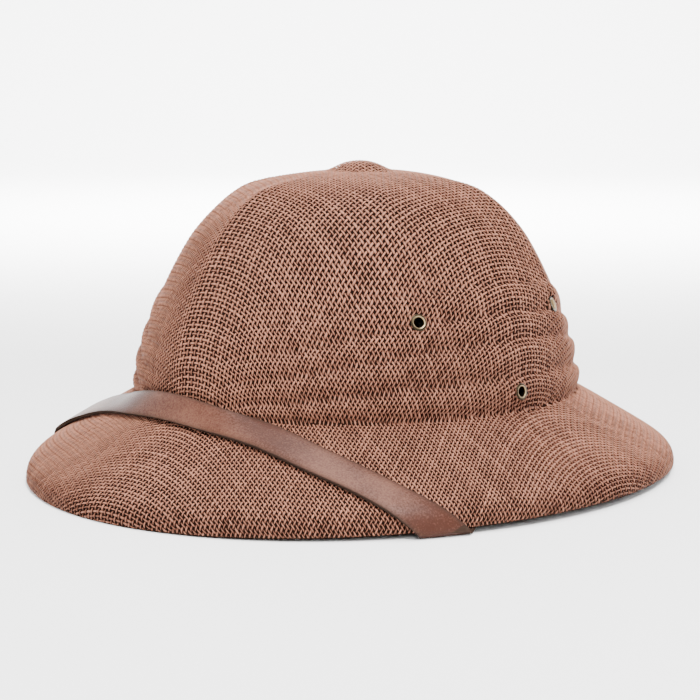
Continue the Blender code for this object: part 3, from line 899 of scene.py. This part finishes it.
def weave_cover(sizes, straw, colours):
    """Interlaced straw strands over the whole helmet, as four pieces that meet edge to edge."""
    form = helmet_form(sizes, True, sizes.edge_show)
    mesh = flat_cloth(straw, float(form["length"].max()))
    flat = read_vertices(mesh)
    family = read_attribute(mesh, "family")
    across = read_attribute(mesh, "across")
    kind = (family > 0.5).astype(int)
    random = np.random.default_rng(WEAVE_SEED)
    number, along = strand_numbers(straw, flat, family, across)
    flat = roughen(straw, flat, kind, across, number, along, random)
    angle, distance = drape(straw, flat[:, 0], flat[:, 1])
    share = distance / around(form["length"], angle)
    crease = around(form["crease"], angle)
    points, normals = sample(form, angle, share)
    draped = points + normals * (flat[:, 2:3] - straw.depth)
    lowest = rim_height(sizes, angle) + sizes.edge_show
    draped[:, 2] = np.maximum(draped[:, 2], lowest)
    bored = press_cloth(sizes, points, draped, form, helmet_form(sizes, False, 0.0))
    mesh.vertices.foreach_set("co", draped.ravel())

    tone_and_painted_shade = strand_tones(kind, number, along, random)
    foot = sizes.crease_height + sizes.crease_tilt * np.cos(angle)
    rise = (points[:, 2] - foot) / (sizes.crease_height + sizes.crown_rise - foot)
    # Painted shade: strands are darkened in the pleats' folds and towards the rim, on top of their own tones
    tone_and_painted_shade -= PLEAT_SHADE * pleat_pattern(sizes, angle, rise, 2)
    tone_and_painted_shade -= RIM_SHADE * smoothstep(*RIM_SHADE_SPAN, share)
    mesh.attributes.new("tone_and_painted_shade", "FLOAT", "POINT").data.foreach_set("value", tone_and_painted_shade.astype(np.float32))
    corners, loops = face_corners(mesh)
    phase = along - number - kind
    strand = np.stack((across[loops], phase[loops]), axis=1).astype(np.float32)
    mesh.uv_layers.new(name="strand").data.foreach_set("uv", strand.ravel())

    shown = (share < 1.0)[corners].any(axis=0) & ~bored[corners].any(axis=0)
    left = flat[corners[0], 0] > 0
    crown = share[corners[0]] < crease[corners[0]]
    material = straw_material(colours)
    for name, region in (
        ("straw_crown_left", crown & left),
        ("straw_crown_right", crown & ~left),
        ("straw_brim_left", ~crown & left),
        ("straw_brim_right", ~crown & ~left),
    ):
        piece = new_object(name, keep_faces(mesh, shown & region, name), material)
        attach(piece, "root")
        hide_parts("straw_cover")
    bpy.data.meshes.remove(mesh)


def form_backing(sizes, colours):
    """Dark shell under the straw. Its outside follows the moulded form, its inside is plain."""
    plain = helmet_form(sizes, False, 0.0)
    moulded = helmet_form(sizes, True, 0.0)
    bm = bmesh.new()
    lined = bm.verts.layers.float.new("inside")
    made = bmesh.ops.create_grid(bm, x_segments=BACKING_COLUMNS, y_segments=BACKING_ROWS, size=1.0)["verts"]
    place = (np.array([vertex.co[:2] for vertex in made]) + 1.0) / 2
    row = np.rint(place[:, 1] * BACKING_ROWS)
    inside = row > BACKING_OUTER_ROWS
    inner_rows = BACKING_ROWS - BACKING_OUTER_ROWS - 1
    share = np.where(inside, (BACKING_ROWS - row) / inner_rows, row / BACKING_OUTER_ROWS)
    points, normals = sample(plain, place[:, 0] * 2 * math.pi, share)
    raised, _ = sample(moulded, place[:, 0] * 2 * math.pi, share)
    relief = ((raised - points) * normals).sum(axis=1)
    outer = np.maximum(relief, -BACKING_SINK * sizes.clearance) - sizes.backing_inset
    outer += BACKING_LIFT * sizes.clearance
    depth = np.where(inside, -sizes.backing_inset - sizes.backing_wall, outer)
    shell = points + normals * depth[:, None]
    shell[:, 2] = np.where(share >= 1.0, points[:, 2], shell[:, 2])
    for vertex, point, within in zip(made, shell, inside):
        vertex.co = point
        vertex[lined] = float(within)
    bmesh.ops.remove_doubles(bm, verts=bm.verts, dist=MERGE_DISTANCE)
    bmesh.ops.recalc_face_normals(bm, faces=bm.faces)
    bore = sizes.eyelet_bore + sizes.eyelet_flange + sizes.clearance
    drills = [
        (eyelet_frame(sizes, plain, angle, height), bore) for _, angle, height, _ in eyelet_places()
    ]
    backing = new_object("backing_cloth", mesh_from(bm, "backing_cloth"), backing_material(colours))
    drill(backing, drills)
    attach(backing, "root")
    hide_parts("backing_crown", "backing_brim")


def drill(piece, drills):
    """Cuts round holes and keeps the result as the piece's mesh."""
    cutters = []
    for turn, radius in drills:
        bm = bmesh.new()
        bmesh.ops.create_cone(
            bm, cap_ends=True, segments=DRILL_SIDES, radius1=radius, radius2=radius, depth=DRILL_DEPTH,
            matrix=turn)
        cutter = bpy.data.objects.new("drill", mesh_from(bm, "drill"))
        bpy.context.scene.collection.objects.link(cutter)
        boolean = piece.modifiers.new("hole", "BOOLEAN")
        boolean.operation = "DIFFERENCE"
        boolean.solver = "EXACT"
        boolean.object = cutter
        cutters.append(cutter)
    graph = bpy.context.evaluated_depsgraph_get()
    mesh = bpy.data.meshes.new_from_object(piece.evaluated_get(graph))
    piece.modifiers.clear()
    piece.data = mesh
    for cutter in cutters:
        bpy.data.objects.remove(cutter, do_unlink=True)


def lay_strap(sizes, colours):
    """Leather strap with eased edges, from the frame's own strap."""
    bm = bmesh.new()
    bm.from_mesh(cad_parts["chin_strap"].data)
    bmesh.ops.remove_doubles(bm, verts=bm.verts, dist=MERGE_DISTANCE)
    bmesh.ops.join_triangles(
        bm, faces=bm.faces, angle_face_threshold=JOIN_FACE_ANGLE, angle_shape_threshold=JOIN_SHAPE_ANGLE)
    bmesh.ops.recalc_face_normals(bm, faces=bm.faces)
    rim = bm.verts.layers.float.new("rim")
    sharp = [edge for edge in bm.edges if edge.is_manifold and edge.calc_face_angle() > CUT_EDGE_ANGLE]
    for edge in sharp:
        for vertex in edge.verts:
            vertex[rim] = 1.0
    bmesh.ops.bevel(
        bm, geom=sharp, offset=sizes.strap_thickness * CUT_EDGE_SHARE, offset_type="OFFSET", affect="EDGES",
        segments=CUT_EDGE_SEGMENTS, profile=0.5, material=-1, clamp_overlap=True)
    mesh = mesh_from(bm, "leather_strap")
    strap = new_object("leather_strap", mesh, leather_material(colours))
    mesh.set_sharp_from_angle(angle=SHARP_ANGLE)
    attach(strap, "root")
    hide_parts("chin_strap")


def set_eyelets(sizes, colours):
    """Rolled brass eyelets, turned about their own axes."""
    form = helmet_form(sizes, False, 0.0)
    material = brass_material(colours)
    shell = sizes.backing_inset + sizes.backing_wall
    barrel = sizes.eyelet_bore + sizes.eyelet_flange * BARREL_SHARE
    half = (sizes.eyelet_radius - sizes.eyelet_bore) / 2
    moulded = helmet_form(sizes, True, 0.0)
    middle = (sizes.eyelet_bore + sizes.eyelet_radius) / 2
    for name, angle, height, holds_strap in eyelet_places():
        rise = eyelet_seat(sizes, form, moulded, angle, height) - sizes.clearance
        inner = shell + sizes.clearance * EYELET_ROOM
        if holds_strap:
            inner = shell + sizes.strap_slack + sizes.strap_thickness + sizes.clearance
        turns = [math.pi * step / ROLL_STEPS for step in range(ROLL_STEPS + 1)]
        roll = [(half * math.cos(turn), sizes.eyelet_roll * math.sin(turn)) for turn in turns]
        profile = [(middle - across, rise + level) for across, level in roll]
        profile += [(barrel, rise), (barrel, -inner)]
        profile += [(middle + across, -inner - level) for across, level in roll]
        bm = bmesh.new()
        ring = [bm.verts.new((radius, 0.0, level)) for radius, level in profile]
        edges = [bm.edges.new((a, b)) for a, b in zip(ring, ring[1:] + ring[:1])]
        bmesh.ops.spin(
            bm, geom=ring + edges, cent=(0, 0, 0), axis=(0, 0, 1), angle=2 * math.pi, steps=EYELET_STEPS,
            use_merge=True, use_duplicate=False)
        bmesh.ops.remove_doubles(bm, verts=bm.verts, dist=MERGE_DISTANCE)
        bmesh.ops.recalc_face_normals(bm, faces=bm.faces)
        # Top of the roll inside its middle is bright brass, as wear and as a painted highlight; the rest
        # shows patina
        rubbed_and_highlight = bm.verts.layers.float.new("rubbed_and_highlight")
        for vertex in bm.verts:
            reach = math.hypot(vertex.co.x, vertex.co.y)
            vertex[rubbed_and_highlight] = 1.0 if reach < middle - half * RUBBED_HIGHLIGHT_INSET and vertex.co.z > rise else 0.0
        bmesh.ops.transform(bm, matrix=eyelet_frame(sizes, form, angle, height), verts=bm.verts)
        piece = new_object(f"{name}_brass", mesh_from(bm, name), material)
        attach(piece, "root")
        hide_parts(name)


def add_light(name, place, size, power, target):
    data = bpy.data.lights.new(name, "AREA")
    data.shape = "DISK"
    data.size = size
    data.energy = power
    light = bpy.data.objects.new(name, data)
    light.location = place
    light.rotation_euler = (target - place).to_track_quat("-Z", "Y").to_euler()
    bpy.context.scene.collection.objects.link(light)


def set_stage(colours):
    """Pale floor that curves up into a wall, soft lights and the camera."""
    bm = bmesh.new()
    outline = [(0.0, 0.0), (FLOOR_RADIUS, 0.0)]
    for angle in WALL_BEND_ANGLES:
        turn = math.radians(angle)
        outline.append((FLOOR_RADIUS + WALL_BEND * math.sin(turn), WALL_BEND - WALL_BEND * math.cos(turn)))
    outline.append((FLOOR_RADIUS + WALL_BEND, WALL_TOP))
    chain = [bm.verts.new((reach, 0.0, level)) for reach, level in outline]
    edges = [bm.edges.new(pair) for pair in zip(chain, chain[1:])]
    bmesh.ops.spin(
        bm, geom=chain + edges, cent=(0, 0, 0), axis=(0, 0, 1), angle=2 * math.pi, steps=STAGE_STEPS,
        use_merge=True, use_duplicate=False)
    bmesh.ops.remove_doubles(bm, verts=bm.verts, dist=MERGE_DISTANCE)
    bmesh.ops.recalc_face_normals(bm, faces=bm.faces)
    if sum(face.normal.z * face.calc_area() for face in bm.faces) < 0:
        bmesh.ops.reverse_faces(bm, faces=bm.faces)
    stage = new_object("stage_floor", mesh_from(bm, "stage_floor"), stage_material(colours))

    world = bpy.data.worlds.new("soft_studio")
    world.use_nodes = True
    world.node_tree.nodes["Background"].inputs["Color"].default_value = (1.0, 1.0, 1.0, 1.0)
    world.node_tree.nodes["Background"].inputs["Strength"].default_value = WORLD_STRENGTH
    bpy.context.scene.world = world

    away = Vector((math.sin(CAMERA_AZIMUTH) * math.cos(CAMERA_ELEVATION),
                   -math.cos(CAMERA_AZIMUTH) * math.cos(CAMERA_ELEVATION), math.sin(CAMERA_ELEVATION)))
    right = Vector((math.cos(CAMERA_AZIMUTH), math.sin(CAMERA_AZIMUTH), 0.0))
    up = Vector((0.0, 0.0, 1.0))
    for name, place, size, power, aim in LIGHTS:
        stand = away * place[0] + right * place[1] + up * place[2]
        target = CAMERA_PIVOT if aim is None else away * aim[0] + right * aim[1] + up * aim[2]
        add_light(name, stand, size, power, target)

    data = bpy.data.cameras.new("camera")
    data.lens = CAMERA_LENS
    data.sensor_width = CAMERA_SENSOR
    data.shift_x, data.shift_y = CAMERA_SHIFT
    camera = bpy.data.objects.new("camera", data)
    camera.location = CAMERA_PIVOT + away * CAMERA_DISTANCE
    camera.rotation_euler = (-away).to_track_quat("-Z", "Y").to_euler()
    bpy.context.scene.collection.objects.link(camera)
    bpy.context.scene.camera = camera


class HELMET_OT_set_stage(bpy.types.Operator):
    """Sets the floor, the lights and the camera"""

    bl_idname = "helmet.set_stage"
    bl_label = "Set stage"

    def execute(self, context):
        set_stage(context.scene.helmet_colours)
        return {"FINISHED"}


class HELMET_OT_weave_cover(bpy.types.Operator):
    """Weaves the straw cover over the helmet"""

    bl_idname = "helmet.weave_cover"
    bl_label = "Weave cover"

    def execute(self, context):
        scene = context.scene
        weave_cover(scene.helmet_sizes, scene.helmet_straw, scene.helmet_colours)
        return {"FINISHED"}


class HELMET_OT_form_backing(bpy.types.Operator):
    """Forms the dark backing under the straw"""

    bl_idname = "helmet.form_backing"
    bl_label = "Form backing"

    def execute(self, context):
        form_backing(context.scene.helmet_sizes, context.scene.helmet_colours)
        return {"FINISHED"}


class HELMET_OT_lay_strap(bpy.types.Operator):
    """Lays the leather strap over the brim"""

    bl_idname = "helmet.lay_strap"
    bl_label = "Lay strap"

    def execute(self, context):
        lay_strap(context.scene.helmet_sizes, context.scene.helmet_colours)
        return {"FINISHED"}


class HELMET_OT_set_eyelets(bpy.types.Operator):
    """Sets the brass eyelets in the crown"""

    bl_idname = "helmet.set_eyelets"
    bl_label = "Set eyelets"

    def execute(self, context):
        set_eyelets(context.scene.helmet_sizes, context.scene.helmet_colours)
        return {"FINISHED"}


OPERATORS = (HELMET_OT_set_stage, HELMET_OT_weave_cover, HELMET_OT_form_backing, HELMET_OT_lay_strap,
             HELMET_OT_set_eyelets)
SETTINGS = (("helmet_sizes", HelmetSizes), ("helmet_straw", StrawSettings), ("helmet_colours", HelmetColours))


class HELMET_PT_panel(bpy.types.Panel):
    """Lists the helmet's steps and settings"""

    bl_idname = "HELMET_PT_panel"
    bl_label = "Pith helmet"
    bl_space_type = "VIEW_3D"
    bl_region_type = "UI"
    bl_category = "Helmet"

    def draw(self, context):
        for operator in OPERATORS:
            self.layout.operator(operator.bl_idname)
        for name, settings in SETTINGS:
            box = self.layout.box()
            for label in settings.__annotations__:
                box.prop(getattr(context.scene, name), label)


def register():
    for name, settings in SETTINGS:
        bpy.utils.register_class(settings)
        setattr(bpy.types.Scene, name, bpy.props.PointerProperty(type=settings))
    for item in OPERATORS + (HELMET_PT_panel,):
        bpy.utils.register_class(item)


def unregister():
    for item in reversed(OPERATORS + (HELMET_PT_panel,)):
        bpy.utils.unregister_class(item)
    for name, settings in reversed(SETTINGS):
        delattr(bpy.types.Scene, name)
        bpy.utils.unregister_class(settings)


def main():
    register()
    bpy.ops.helmet.set_stage()
    bpy.ops.helmet.weave_cover()
    bpy.ops.helmet.form_backing()
    bpy.ops.helmet.lay_strap()
    bpy.ops.helmet.set_eyelets()


if __name__ == "__main__":
    main()
